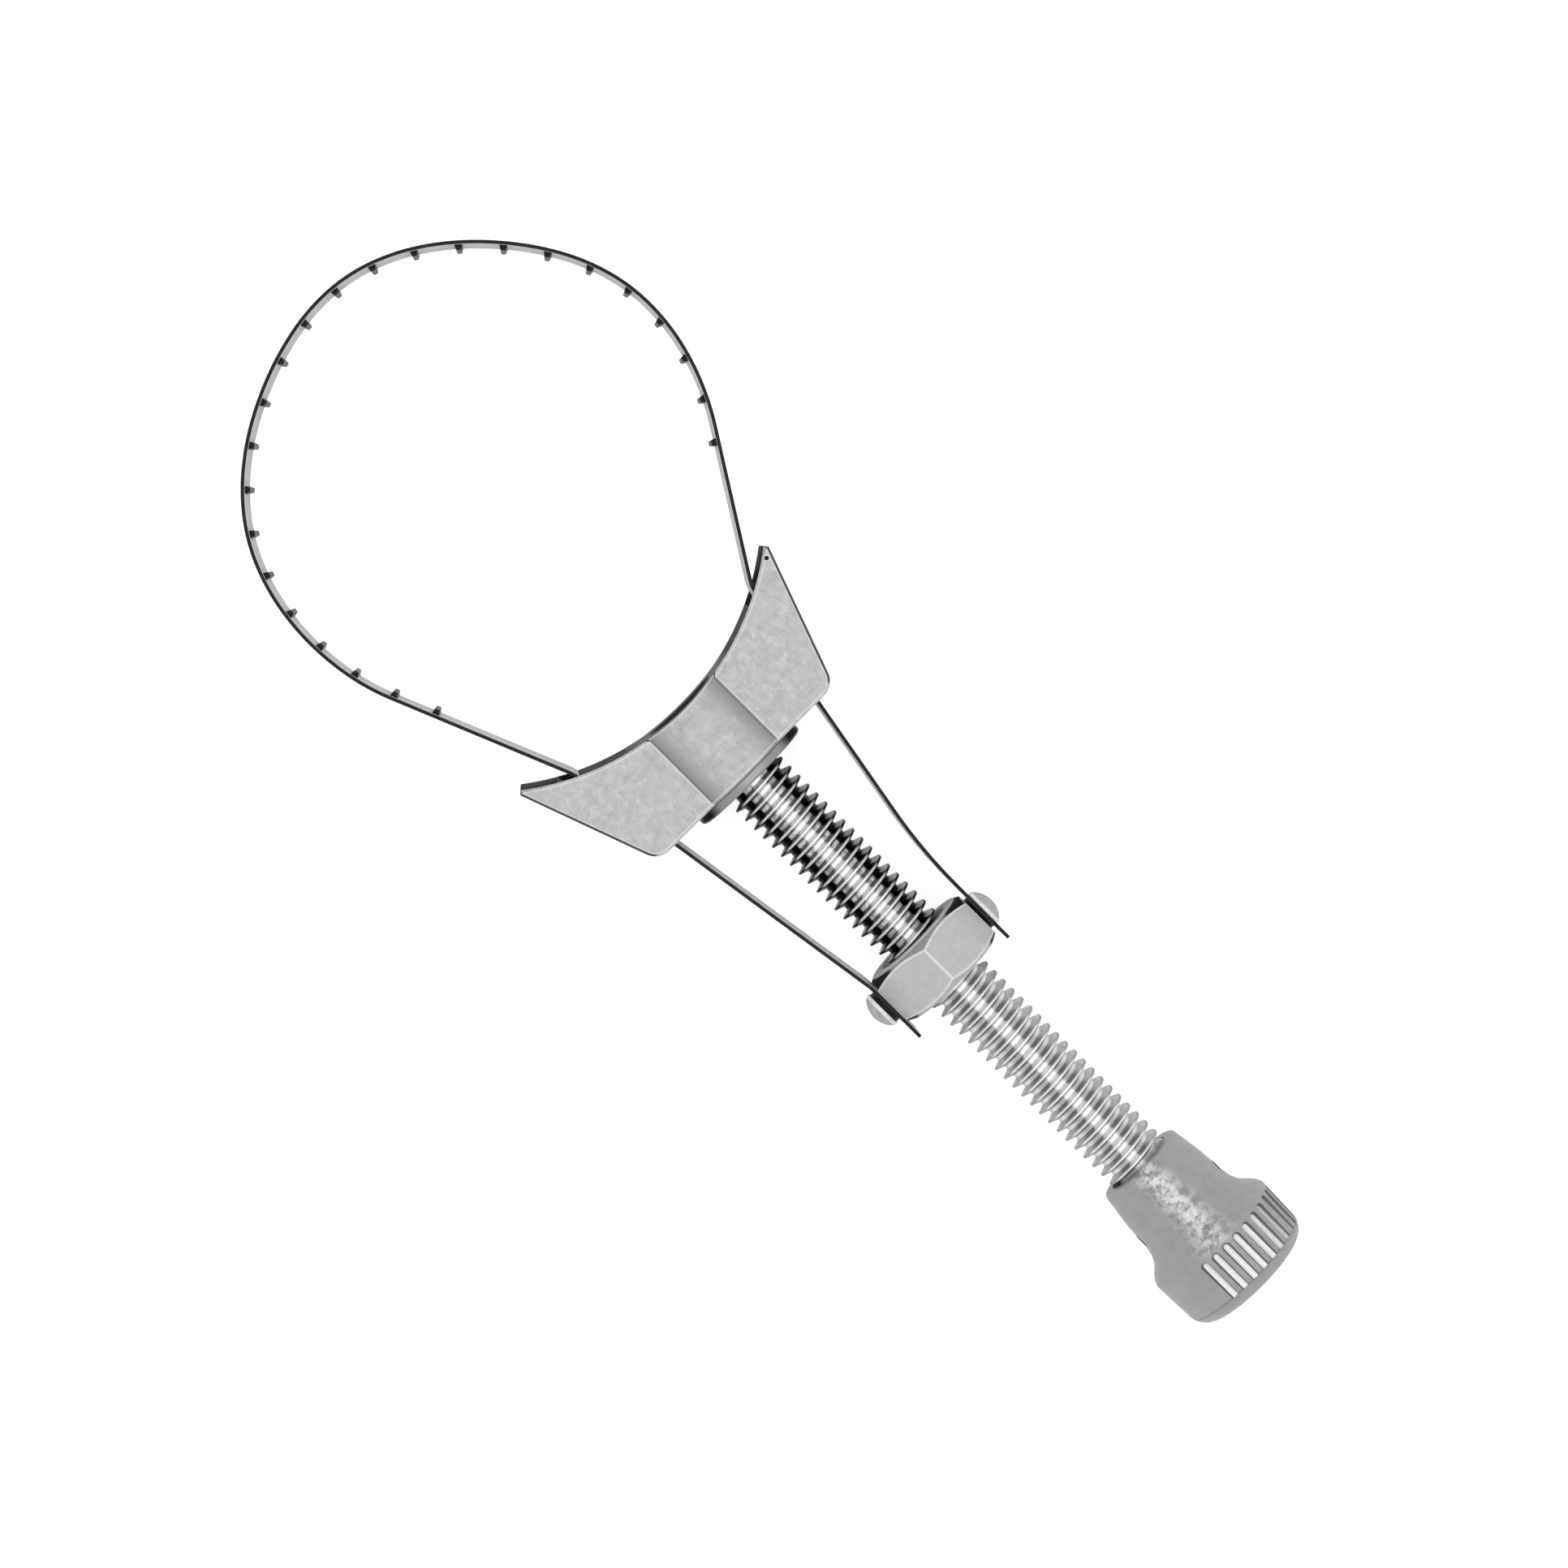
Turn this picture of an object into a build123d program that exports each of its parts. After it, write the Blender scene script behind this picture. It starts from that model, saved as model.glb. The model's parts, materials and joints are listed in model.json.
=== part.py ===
from build123d import *
import os
from math import asin, atan2, cos, degrees, pi, radians, sqrt, tan

# An adjustable steel-band filter wrench, in millimetres, lying on its side.
# The origin is the middle of the knob's end face. +Y runs along the screw towards the band loop,
# +X is across the saddle, and +Z is along the band's width.

# ---- Clearances ----
SLIDING_GAP = 0.05  # round parts that turn or slide in one another
PINNED_GAP = 0.02  # round parts that are pinned or pushed together
THREAD_GAP = 0.1  # between the screw's thread and the nut's
END_PLAY = 0.05  # along the screw, at its bearing in the saddle

# ---- Knob ----
KNOB_LENGTH = 32.9
KNOB_NECK_RADIUS = 9.5
KNOB_WAIST_RADIUS = 10.3
KNOB_WAIST_Y = 26.5
KNOB_SHOULDER_RADIUS = 12.4
KNOB_SHOULDER_Y = 15.7
KNOB_RIM_RADIUS = 14.8
KNOB_RIM_TOP_Y = 12.5
KNOB_FOOT_RADIUS = 14.5
KNOB_END_ROUNDING = 3.9
KNOB_NECK_ROUNDING = 0.9
FLUTES = 32  # places for a flute around the rim
FLUTES_LEFT_OUT = 6  # next to each other, where the rim stays plain
FIRST_FLUTE_ANGLE = -20.1  # degrees from the knob's top towards +X
FLUTE_RADIUS = 0.95
FLUTE_LENGTH = 10.1
FLUTE_START_Y = 2.0
KNOB_RIM_LEAN = 0.25  # how fast the surface draws in above the rim, and at the waist
KNOB_WAIST_LEAN = 0.14
SOCKET_FLOOR = 6.1  # knob's end face to the bottom of its socket
RECESS_DEPTH = 1.3

# ---- Screw ----
PITCH = 2.5
CREST_RADIUS = 7.0
ROOT_RADIUS = 5.2
CREST_WIDTH = 0.35
RIDGE_WIDTH = 1.9
RIDGE_SUNK = 0.2  # how far the ridge's foot lies inside the core
TURNS_AT_A_TIME = 12
SPIGOT_RADIUS = 4.9
SPIGOT_END_GAP = 1.0
JOURNAL_RADIUS = 4.5
JOURNAL_LENGTH = 18.8
JOURNAL_CHAMFER = 0.6
PIN_RADIUS = 2.0
PIN_Y = 21.0
PIN_BELOW_SURFACE = 0.3

# ---- Saddle ----
SADDLE_Y = 143.5  # back face
SADDLE_THICKNESS = 24.0
SADDLE_MIDDLE_DEPTH = 17.5  # back face to the bottom of the hollow
HOLLOW_RADIUS = 55.0
SADDLE_BACK_HALF_WIDTH = 24.1
SADDLE_TIP_HALF_WIDTH = 34.2
TIP_FLAT = 0.7
BACK_CORNER_RADIUS = 4.0
CASTING_EDGE = 0.5
BOSS_RADIUS = 15.0
SLOT_HALF_SPACING_BACK = 19.75
SLOT_HALF_SPACING_FRONT = 25.35
SLOT_WIDTH = 3.4
SLOT_SIDE_GAP = 0.4
CASTING_MARK_RADIUS = 0.45
CASTING_MARK_DEPTH = 0.3
CASTING_MARK_FROM_TIP = (1.9, 1.3)

# ---- Screw bearing in the saddle ----
THRUST_WASHER_RADIUS = 13.3
THRUST_WASHER_THICKNESS = 2.0
WASHER_EDGE = 0.35
COUNTERBORE_RADIUS = 8.25
COUNTERBORE_FLOOR = 12.5  # above the back face
KEEPER_WASHER_RADIUS = 7.6
KEEPER_WASHER_THICKNESS = 1.0
CLIP_THICKNESS = 0.9
CLIP_RADIUS = 6.3
CLIP_OPENING = 7.0
GROOVE_DEPTH = 0.6

# ---- Nut ----
NUT_BEHIND_SADDLE = 52.8  # saddle's back face to the middle of the nut
NUT_ACROSS_FLATS = 24.5
NUT_HEIGHT = 11.4
NUT_CHAMFER_ANGLE = 30.0
NUT_FACE_RADIUS = 11.1

# ---- Band screws and their washers ----
SCREW_RADIUS = 2.0
SCREW_HEAD_RADIUS = 4.0
SCREW_HEAD_HEIGHT = 2.6
SCREW_HEAD_RIM = 0.7
SCREW_LENGTH_IN_NUT = 4.5
SCREW_SLOT_WIDTH = 1.1
SCREW_SLOT_DEPTH = 1.1
LOCK_WASHER_RADIUS = 3.7
LOCK_WASHER_THICKNESS = 1.1
LOCK_WASHER_SPLIT = 0.8
LOCK_WASHER_SPLIT_ANGLE = 25.0
SPACER_RADIUS = 3.9
SPACER_THICKNESS = 0.8

# ---- Band ----
BAND_THICKNESS = 0.7
BAND_WIDTH = 20.0
BAND_HOLE_GAP = 0.15
LOOP_RADIUS = 46.6  # outer face, on average
LOOP_X = 4.3
LOOP_ABOVE_HOLLOW = 12.6  # bottom of the hollow to the foot of the loop's circle
LOOP_CORNERS = (6.0, 78.0, 150.0)  # where the springy band bows out from its circle, from +X
LOOP_CORNER_RISE = 0.65  # how far it bows out there
LOOP_FLAT_DIP = 0.5  # and how far it lies inside, midway between two corners
CROWN_ARC_PAIRS = 10  # the round part of the loop is laid out in this many pairs of arcs
LEFT_MOUTH_SHIFT = -0.95  # band's outer face, out from the slot's middle, where it leaves the hollow
RIGHT_MOUTH_SHIFT = 1.45
MOUTH_ABOVE_HOLLOW = 0.5
SLOT_EXIT_SHIFT = 0.3  # the same where it leaves the back face
LEFT_TAIL_PAST_NUT = 8.0  # middle of the nut to the band's end
RIGHT_TAIL_PAST_NUT = 6.5
LEFT_BEND_ABOVE_SCREW = 5.2  # middle of the nut to where the tail turns towards its slot
RIGHT_BEND_ABOVE_SCREW = 17.5
LEFT_BEND_RADIUS = 15.0
RIGHT_BEND_RADIUS = 110.0
EXIT_BEND_RADIUS = 20.0
MOUTH_BEND_RADIUS = 8.0
STRAIGHT_IN_SLOT = 1.0  # from the bend at the mouth to where the loop begins
TOOTH_PITCH = 8.85
TEETH_PER_STRETCH = 4
TOOTH_BASE = 1.8
TOOTH_TIP = 0.9
TOOTH_HEIGHT = 1.05
TOOTH_LENGTH = 16.0

# ---- Places that follow from the sizes ----
HOLLOW_BOTTOM_Y = SADDLE_Y + SADDLE_MIDDLE_DEPTH
HOLLOW_Y = HOLLOW_BOTTOM_Y + HOLLOW_RADIUS
THRUST_WASHER_Y = SADDLE_Y - THRUST_WASHER_THICKNESS
SHOULDER_Y = THRUST_WASHER_Y - END_PLAY
RECESS_Y = KNOB_LENGTH - RECESS_DEPTH
SOCKET_DEPTH = RECESS_Y - SOCKET_FLOOR
KEEPER_WASHER_Y = SADDLE_Y + COUNTERBORE_FLOOR + END_PLAY
CLIP_Y = KEEPER_WASHER_Y + KEEPER_WASHER_THICKNESS + END_PLAY
NUT_Y = SADDLE_Y - NUT_BEHIND_SADDLE
NUT_FLAT_X = NUT_ACROSS_FLATS / 2
NUT_CORNER_RADIUS = NUT_FLAT_X / cos(pi / 6)
LOOP_MIDDLE = Vector(LOOP_X, HOLLOW_BOTTOM_Y + LOOP_ABOVE_HOLLOW + LOOP_RADIUS)
LEFT_BAND_X = NUT_FLAT_X + BAND_THICKNESS  # outer face of the band on the nut
RIGHT_BAND_X = NUT_FLAT_X + SPACER_THICKNESS + BAND_THICKNESS
LEFT_HEAD_X = LEFT_BAND_X + LOCK_WASHER_THICKNESS
RIGHT_HEAD_X = RIGHT_BAND_X
UP = Align.MIN


def along_screw(shape, y):
    """Turns a shape that stands on the XY plane to point along +Y, with its foot at y."""
    return Pos(0, y, 0) * Rot(X=-90) * shape


def across_screw(shape, x, side):
    """Turns a shape that stands on the XY plane to point out along +X or -X, at the nut's middle."""
    return Pos(side * x, NUT_Y, 0) * Rot(Y=90 * side) * shape


def rod(radius, length):
    return Cylinder(radius, length, align=(Align.CENTER, Align.CENTER, UP))


def ring(outer, inner, thickness):
    return rod(outer, thickness) - rod(inner, thickness)


def ridge(turns, gap):
    """A right-hand helical ridge about Z, with its foot a little inside the core."""
    root = ROOT_RADIUS + gap
    route = Helix(pitch=PITCH, height=turns * PITCH, radius=root)
    half_base = RIDGE_WIDTH / 2 + gap
    half_crest = CREST_WIDTH / 2 + gap
    profile = Polyline(
        (-RIDGE_SUNK, -half_base),
        (CREST_RADIUS - ROOT_RADIUS, -half_crest),
        (CREST_RADIUS - ROOT_RADIUS, half_crest),
        (-RIDGE_SUNK, half_base),
        close=True,
    )
    section = Plane(origin=route @ 0, x_dir=(1, 0, 0), z_dir=(0, -1, 0)) * make_face(profile)
    return sweep(section, path=route, is_frenet=True)


def threaded_core(start, length, first_turn, turns, gap):
    """A round core with a helical ridge, both grown by gap, along the screw.

    The ridge starts on a whole turn counted from the knob's recess, so that threads made
    apart from each other are in step. It is laid on a few turns at a time.
    """
    body = along_screw(rod(ROOT_RADIUS + gap, length), start)
    last_turn = first_turn + turns
    while first_turn < last_turn:
        run = min(TURNS_AT_A_TIME, last_turn - first_turn)
        ridge_y = RECESS_Y + RIDGE_WIDTH / 2 + first_turn * PITCH
        body += along_screw(ridge(run, gap), ridge_y)
        first_turn += run
    return body


# ---- Screw, knob and what pins them together ----


def screw_rod():
    thread_length = SHOULDER_Y - RECESS_Y
    turns = (thread_length - RIDGE_WIDTH) / PITCH
    body = threaded_core(RECESS_Y, thread_length, 0, turns, 0)
    spigot_length = SOCKET_DEPTH - SPIGOT_END_GAP
    spigot = rod(SPIGOT_RADIUS, spigot_length)
    spigot = chamfer(spigot.edges().group_by(Axis.Z)[0], JOURNAL_CHAMFER)
    journal = rod(JOURNAL_RADIUS, JOURNAL_LENGTH)
    journal = chamfer(journal.edges().group_by(Axis.Z)[-1], JOURNAL_CHAMFER)
    body += along_screw(spigot, RECESS_Y - spigot_length)
    body += along_screw(journal, SHOULDER_Y)
    groove_width = CLIP_THICKNESS + END_PLAY
    groove = ring(CREST_RADIUS, JOURNAL_RADIUS - GROOVE_DEPTH, groove_width)
    body -= along_screw(groove, CLIP_Y - END_PLAY / 2)
    return body - cross_hole(PIN_RADIUS + PINNED_GAP)


def cross_hole(radius):
    hole = Cylinder(radius, 4 * KNOB_RIM_RADIUS)
    return Pos(0, PIN_Y, 0) * Rot(Y=90) * hole


def knob_outline():
    """The knob's outer surface, to be turned about the screw. Points are radius, height."""
    top = KNOB_LENGTH - KNOB_NECK_ROUNDING
    foot = KNOB_END_ROUNDING
    shoulder = (KNOB_SHOULDER_RADIUS, KNOB_SHOULDER_Y)
    rim = (KNOB_RIM_RADIUS, KNOB_RIM_TOP_Y)
    neck_top = (KNOB_NECK_RADIUS, top)
    waist = (KNOB_WAIST_RADIUS, KNOB_WAIST_Y)
    return [
        Line((0, 0), (KNOB_FOOT_RADIUS - KNOB_END_ROUNDING, 0)),
        RadiusArc(
            (KNOB_FOOT_RADIUS - KNOB_END_ROUNDING, 0),
            (KNOB_FOOT_RADIUS, foot),
            -KNOB_END_ROUNDING,
        ),
        Line((KNOB_FOOT_RADIUS, foot), rim),
        Spline(rim, shoulder, waist, tangents=[(-KNOB_RIM_LEAN, 1), (-KNOB_WAIST_LEAN, 1)]),
        Line(waist, neck_top),
        RadiusArc(
            neck_top,
            (KNOB_NECK_RADIUS - KNOB_NECK_ROUNDING, KNOB_LENGTH),
            -KNOB_NECK_ROUNDING,
        ),
        Line((KNOB_NECK_RADIUS - KNOB_NECK_ROUNDING, KNOB_LENGTH), (0, KNOB_LENGTH)),
        Line((0, KNOB_LENGTH), (0, 0)),
    ]


def knob_surface_radius(y):
    """The knob's radius between its waist and the top of its neck."""
    share = (y - KNOB_WAIST_Y) / (KNOB_LENGTH - KNOB_WAIST_Y)
    return KNOB_WAIST_RADIUS + share * (KNOB_NECK_RADIUS - KNOB_WAIST_RADIUS)


def flute():
    """A groove with round ends, lying in the rim's surface."""
    straight = FLUTE_LENGTH - 2 * FLUTE_RADIUS
    groove = rod(FLUTE_RADIUS, straight)
    groove += Sphere(FLUTE_RADIUS)
    groove += Pos(0, 0, straight) * Sphere(FLUTE_RADIUS)
    return Pos(KNOB_RIM_RADIUS, 0, FLUTE_START_Y + FLUTE_RADIUS) * groove


def fluted(body, angle):
    """The body with a flute at this angle. A cut that takes nothing off is made again beside it."""
    for nudge in (0, 0.03, -0.03, 0.1, -0.1, 0.3, -0.3):
        cut = body - Rot(Z=angle + nudge) * flute()
        if cut.volume < body.volume - FLUTE_LENGTH * FLUTE_RADIUS**2 / 2:
            break
    return cut


def knob():
    body = revolve(Plane.XZ * make_face(knob_outline()), axis=Axis.Z)
    top = -90  # degrees from +X, before the knob is laid along the screw
    for i in range(FLUTES - FLUTES_LEFT_OUT):
        body = fluted(body, top + FIRST_FLUTE_ANGLE + 360 * i / FLUTES)
    body -= Pos(0, 0, RECESS_Y) * rod(CREST_RADIUS + THREAD_GAP, RECESS_DEPTH)
    body -= Pos(0, 0, SOCKET_FLOOR) * rod(SPIGOT_RADIUS + PINNED_GAP, SOCKET_DEPTH)
    return along_screw(body, 0) - cross_hole(PIN_RADIUS + PINNED_GAP)


def knob_pin():
    length = 2 * (knob_surface_radius(PIN_Y) - PIN_BELOW_SURFACE)
    pin = chamfer(Cylinder(PIN_RADIUS, length).edges().filter_by(GeomType.CIRCLE), PIN_BELOW_SURFACE)
    return Pos(0, PIN_Y, 0) * Rot(Y=90) * pin


# ---- Saddle and the screw's bearing in it ----


def hollow():
    return Pos(0, HOLLOW_Y, 0) * Cylinder(HOLLOW_RADIUS, 2 * SADDLE_THICKNESS)


def hollow_surface_y(x):
    return HOLLOW_Y - sqrt(HOLLOW_RADIUS**2 - x**2)


def saddle_slot(side):
    """The passage for one side of the band, through the saddle."""
    foot = Vector(SLOT_HALF_SPACING_BACK, SADDLE_Y)
    head = Vector(SLOT_HALF_SPACING_FRONT, hollow_surface_y(SLOT_HALF_SPACING_FRONT))
    run = head - foot
    lean = degrees(atan2(run.X, run.Y))
    middle = (foot + head) / 2
    height = BAND_WIDTH + 2 * SLOT_SIDE_GAP
    passage = Box(SLOT_WIDTH, 2 * run.length, height)
    return Pos(side * middle.X, middle.Y, 0) * Rot(Z=-side * lean) * passage


def saddle():
    """Each arm's end face slants at 45 degrees, from its outer corner down into the hollow."""
    tip_y = hollow_surface_y(SADDLE_TIP_HALF_WIDTH - TIP_FLAT) - TIP_FLAT
    past_tip = 2 * TIP_FLAT
    outline = [
        (-SADDLE_BACK_HALF_WIDTH, SADDLE_Y),
        (SADDLE_BACK_HALF_WIDTH, SADDLE_Y),
        (SADDLE_TIP_HALF_WIDTH, tip_y),
        (SADDLE_TIP_HALF_WIDTH - past_tip, tip_y + past_tip),
        (-SADDLE_TIP_HALF_WIDTH + past_tip, tip_y + past_tip),
        (-SADDLE_TIP_HALF_WIDTH, tip_y),
    ]
    face = make_face(Polyline(*outline, close=True))
    face = fillet(face.vertices().group_by(Axis.Y)[0], BACK_CORNER_RADIUS)
    arms = extrude(face, SADDLE_THICKNESS / 2, both=True) - hollow()
    half = SADDLE_THICKNESS / 2
    rims = arms.edges().filter_by_position(Axis.Z, half, half)
    rims += arms.edges().filter_by_position(Axis.Z, -half, -half)
    arms = chamfer(rims, CASTING_EDGE)
    boss = rod(BOSS_RADIUS, 2 * SADDLE_MIDDLE_DEPTH)
    boss = chamfer(boss.edges().group_by(Axis.Z)[0], CASTING_EDGE)
    body = arms + (along_screw(boss, SADDLE_Y) - hollow())
    body -= along_screw(rod(JOURNAL_RADIUS + SLIDING_GAP, 2 * SADDLE_MIDDLE_DEPTH), SADDLE_Y)
    counterbore = rod(COUNTERBORE_RADIUS, SADDLE_MIDDLE_DEPTH)
    body -= along_screw(counterbore, SADDLE_Y + COUNTERBORE_FLOOR)
    for side in (-1, 1):
        body -= saddle_slot(side)
    mark = Cylinder(CASTING_MARK_RADIUS, 2 * CASTING_MARK_DEPTH)
    inward, down = CASTING_MARK_FROM_TIP
    return body - Pos(SADDLE_TIP_HALF_WIDTH - inward, tip_y - down, half) * mark


def thrust_washer():
    washer = ring(THRUST_WASHER_RADIUS, JOURNAL_RADIUS + SLIDING_GAP, THRUST_WASHER_THICKNESS)
    rims = washer.edges().filter_by(GeomType.CIRCLE).sort_by(SortBy.RADIUS)[-2:]
    return along_screw(chamfer(rims, WASHER_EDGE), THRUST_WASHER_Y)


def retaining_washer():
    bore = JOURNAL_RADIUS + SLIDING_GAP
    return along_screw(ring(KEEPER_WASHER_RADIUS, bore, KEEPER_WASHER_THICKNESS), KEEPER_WASHER_Y)


def retaining_clip():
    clip = ring(CLIP_RADIUS, JOURNAL_RADIUS - GROOVE_DEPTH + SLIDING_GAP, CLIP_THICKNESS)
    clip -= Pos(0, CLIP_RADIUS, 0) * Box(CLIP_OPENING, 2 * CLIP_RADIUS, 3 * CLIP_THICKNESS)
    return along_screw(clip, CLIP_Y)


# ---- Nut and the band's fastenings ----


def travelling_nut():
    hexagon = RegularPolygon(NUT_FLAT_X, 6, major_radius=False, rotation=30)
    body = extrude(hexagon, NUT_HEIGHT)
    drop = (NUT_CORNER_RADIUS - NUT_FACE_RADIUS) * tan(radians(NUT_CHAMFER_ANGLE))
    half_outline = Polyline(
        (0, 0),
        (NUT_FACE_RADIUS, 0),
        (NUT_CORNER_RADIUS, drop),
        (NUT_CORNER_RADIUS, NUT_HEIGHT - drop),
        (NUT_FACE_RADIUS, NUT_HEIGHT),
        (0, NUT_HEIGHT),
        close=True,
    )
    body &= revolve(Plane.XZ * make_face(half_outline), axis=Axis.Z)
    body = along_screw(body, NUT_Y - NUT_HEIGHT / 2)
    first_turn = (NUT_Y - NUT_HEIGHT - RECESS_Y) // PITCH
    turns = 2 * NUT_HEIGHT / PITCH
    core_start = NUT_Y - 1.5 * NUT_HEIGHT  # the core runs past both ends of the ridge
    body -= threaded_core(core_start, 3 * NUT_HEIGHT, first_turn, turns, THREAD_GAP)
    for side in (-1, 1):
        hole = rod(SCREW_RADIUS + PINNED_GAP, NUT_FLAT_X - CREST_RADIUS)
        body -= across_screw(hole, CREST_RADIUS, side)
    return body


def band_screw(head_x, side):
    """A round-headed screw through the band into a flat of the nut, with its head at head_x."""
    shank_length = head_x - NUT_FLAT_X + SCREW_LENGTH_IN_NUT
    shank = Pos(0, 0, -shank_length) * rod(SCREW_RADIUS, shank_length)
    dome = SCREW_HEAD_HEIGHT - SCREW_HEAD_RIM
    dome_radius = (SCREW_HEAD_RADIUS**2 + dome**2) / (2 * dome)
    head_outline = [
        Line((0, 0), (SCREW_HEAD_RADIUS, 0)),
        Line((SCREW_HEAD_RADIUS, 0), (SCREW_HEAD_RADIUS, SCREW_HEAD_RIM)),
        RadiusArc((SCREW_HEAD_RADIUS, SCREW_HEAD_RIM), (0, SCREW_HEAD_HEIGHT), -dome_radius),
        Line((0, SCREW_HEAD_HEIGHT), (0, 0)),
    ]
    head = revolve(Plane.XZ * make_face(head_outline), axis=Axis.Z)
    slot = Box(SCREW_SLOT_WIDTH, 3 * SCREW_HEAD_RADIUS, 2 * SCREW_SLOT_DEPTH)
    head -= Pos(0, 0, SCREW_HEAD_HEIGHT) * slot
    return across_screw(head + shank, head_x, side)


def band_screw_left():
    return band_screw(LEFT_HEAD_X, -1)


def band_screw_right():
    return band_screw(RIGHT_HEAD_X, 1)


def lock_washer_left():
    washer = ring(LOCK_WASHER_RADIUS, SCREW_RADIUS + SLIDING_GAP, LOCK_WASHER_THICKNESS)
    split = Box(LOCK_WASHER_SPLIT, LOCK_WASHER_RADIUS, 4 * LOCK_WASHER_THICKNESS)
    split = Rot(Y=LOCK_WASHER_SPLIT_ANGLE) * split
    washer -= Pos(0, SCREW_RADIUS + LOCK_WASHER_RADIUS / 2, LOCK_WASHER_THICKNESS / 2) * split
    return across_screw(washer, LEFT_BAND_X, -1)


def spacer_washer_right():
    washer = ring(SPACER_RADIUS, SCREW_RADIUS + SLIDING_GAP, SPACER_THICKNESS)
    return across_screw(washer, NUT_FLAT_X, 1)


# ---- Band ----


def route(points, radii):
    """Straight edges through the points, with each inner corner rounded by its radius."""
    edges = []
    start = Vector(*points[0])
    for corner, after, radius in zip(points[1:-1], points[2:], radii):
        corner = Vector(*corner)
        onward = (Vector(*after) - corner).normalized()
        inward = (corner - start).normalized()
        cut = radius * tan(radians(inward.get_angle(onward)) / 2)
        edges.append(Edge.make_line(start, corner - inward * cut))
        start = corner + onward * cut
        edges.append(Edge.make_tangent_arc(corner - inward * cut, inward, start))
    edges.append(Edge.make_line(start, Vector(*points[-1])))
    return edges


def mouth(side):
    """Where the band's outer face leaves the hollow."""
    x = SLOT_HALF_SPACING_FRONT + (LEFT_MOUTH_SHIFT if side < 0 else RIGHT_MOUTH_SHIFT)
    return Vector(side * x, hollow_surface_y(x) + MOUTH_ABOVE_HOLLOW)


def slot_exit(side):
    """Where it leaves the back face."""
    return Vector(side * (SLOT_HALF_SPACING_BACK + SLOT_EXIT_SHIFT), SADDLE_Y)


def touching_angle(side):
    """Where the straight flank from the mouth touches the loop's circle, in degrees from +X."""
    reach = LOOP_MIDDLE - mouth(side)
    heading = degrees(atan2(reach.Y, reach.X)) - side * degrees(asin(LOOP_RADIUS / reach.length))
    return heading - side * 90


def loop_point(angle, rise):
    """A point of the loop at this angle from +X, that far outside its circle."""
    return LOOP_MIDDLE + Vector(1, 0).rotate(Axis.Z, angle) * (LOOP_RADIUS + rise)


def touching_point(side):
    return loop_point(touching_angle(side), 0)


def loop_start(side):
    """The point in the saddle's slot where the tail ends and the loop begins."""
    inward = slot_exit(side) - mouth(side)
    turn = radians(inward.get_angle(mouth(side) - touching_point(side)))
    bend_reach = MOUTH_BEND_RADIUS * tan(turn / 2)
    return mouth(side) + inward.normalized() * (bend_reach + STRAIGHT_IN_SLOT)


def bowed_crown():
    """The round part of the loop: a springy strip that stands out at some places, and is flatter between."""
    points = [touching_point(-1), loop_point(LOOP_CORNERS[-1], LOOP_CORNER_RISE)]
    for before, after in reversed(list(zip(LOOP_CORNERS, LOOP_CORNERS[1:]))):
        points.append(loop_point((before + after) / 2, -LOOP_FLAT_DIP))
        points.append(loop_point(before, LOOP_CORNER_RISE))
    points.append(touching_point(1))
    outward = touching_point(-1) - mouth(-1)
    inward = mouth(1) - touching_point(1)
    return as_arcs(Spline(*points, tangents=[outward, inward], tangent_scalars=[1, 1]))


def as_arcs(curve):
    """Round arcs that follow a curve and run smoothly into each other, two to each length of it."""
    arcs = []
    for i in range(CROWN_ARC_PAIRS):
        start, end = curve @ (i / CROWN_ARC_PAIRS), curve @ ((i + 1) / CROWN_ARC_PAIRS)
        setting_out, arriving = curve % (i / CROWN_ARC_PAIRS), curve % ((i + 1) / CROWN_ARC_PAIRS)
        across = end - start
        bend = 2 * (1 - setting_out.dot(arriving))
        run = across.dot(setting_out + arriving)
        reach = (sqrt(run**2 + bend * across.dot(across)) - run) / bend
        middle = (start + end + (setting_out - arriving) * reach) / 2
        arcs.append(Edge.make_tangent_arc(start, setting_out, middle))
        arcs.append(Edge.make_tangent_arc(middle, arcs[-1] % 1, end))
    return arcs


def loop_line():
    """The loop's outer face, from the left slot over the crown to the right slot."""
    left = route([loop_start(-1), mouth(-1), touching_point(-1)], [MOUTH_BEND_RADIUS])
    right = route([touching_point(1), mouth(1), loop_start(1)], [MOUTH_BEND_RADIUS])
    return Wire(left + bowed_crown() + right)


def strip(line):
    """A band along the line, which is its outer face seen in the direction of -Z."""
    outline = line.offset_2d(BAND_THICKNESS, side=Side.RIGHT, closed=True)
    return extrude(make_face(outline.edges()), BAND_WIDTH / 2, both=True)


def tooth(line, station):
    """One pressed-in tooth across the band, on its inner face."""
    place = Plane(
        origin=line.position_at(station, PositionMode.LENGTH),
        x_dir=line.tangent_at(station, PositionMode.LENGTH),
        z_dir=(0, 0, 1),
    )
    inner_face = -BAND_THICKNESS / 2
    point = -BAND_THICKNESS - TOOTH_HEIGHT
    profile = Polyline(
        (-TOOTH_BASE / 2, inner_face),
        (-TOOTH_TIP / 2, point),
        (TOOTH_TIP / 2, point),
        (TOOTH_BASE / 2, inner_face),
        close=True,
    )
    return extrude(place * make_face(profile), TOOTH_LENGTH / 2, both=True)


def loop_stretch(first, last):
    """The part of the loop between two places, counted in stretches of teeth from the crown."""
    line = loop_line()
    step = TOOTH_PITCH * TEETH_PER_STRETCH
    middle = line.length / 2
    start = 0 if first == -3 else middle + first * step
    end = line.length if last == 3 else middle + last * step
    body = strip(line.trim(start / line.length, end / line.length))
    for i in range(TEETH_PER_STRETCH * first, TEETH_PER_STRETCH * last):
        body += tooth(line, middle + (i + 0.5) * TOOTH_PITCH)
    return body


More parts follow.
